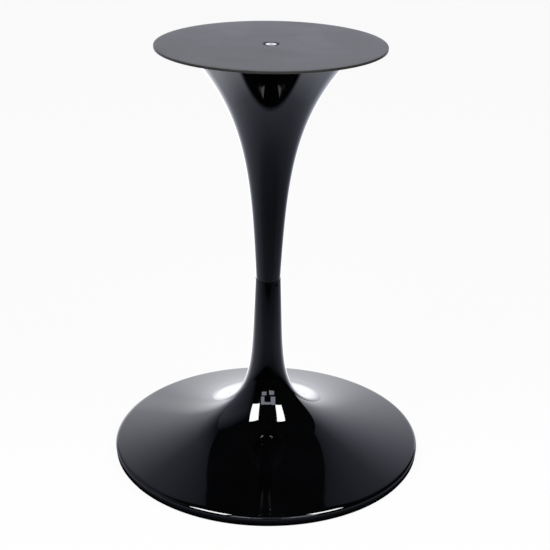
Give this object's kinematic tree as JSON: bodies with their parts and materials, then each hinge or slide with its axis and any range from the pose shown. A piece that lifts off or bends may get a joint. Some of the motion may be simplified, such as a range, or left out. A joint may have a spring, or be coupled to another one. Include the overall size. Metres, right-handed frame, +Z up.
{
  "type": "tulip table base",
  "caption": "Flared pedestal base for a round table: wide round foot, slim waisted stem and a flat round plate that the table top lies on, in gloss black.",
  "frame": {"origin": "on the floor, at the middle of the round foot", "axes": "+Z up along the stem's axis; -Y towards the viewer of the picture; +X to that viewer's right"},
  "size_m": [0.5188, 0.5188, 0.7],
  "materials": {
    "foot_lacquer": "gloss black lacquer on cast iron",
    "trumpet_lacquer": "gloss black lacquer on spun steel",
    "plate_paint": "satin black paint on steel plate",
    "bright_zinc": "bright zinc plate",
    "black_steel": "black oxide",
    "plain_steel": "turned and welded steel, unpainted inside",
    "ring_rubber": "matt black rubber"
  },
  "bodies": {
    "root": {"foot": "foot_lacquer", "upper_trumpet": "trumpet_lacquer", "top_plate": "plate_paint", "sleeve_nut": "bright_zinc", "tie_rod": "bright_zinc", "clamp_washer": "bright_zinc", "spring_washer": "bright_zinc", "clamp_nut": "bright_zinc", "grub_screw": "black_steel", "neck_spigot": "plain_steel", "mouth_bridge": "plain_steel", "floor_ring": "ring_rubber"}
  },
  "joints": []
}
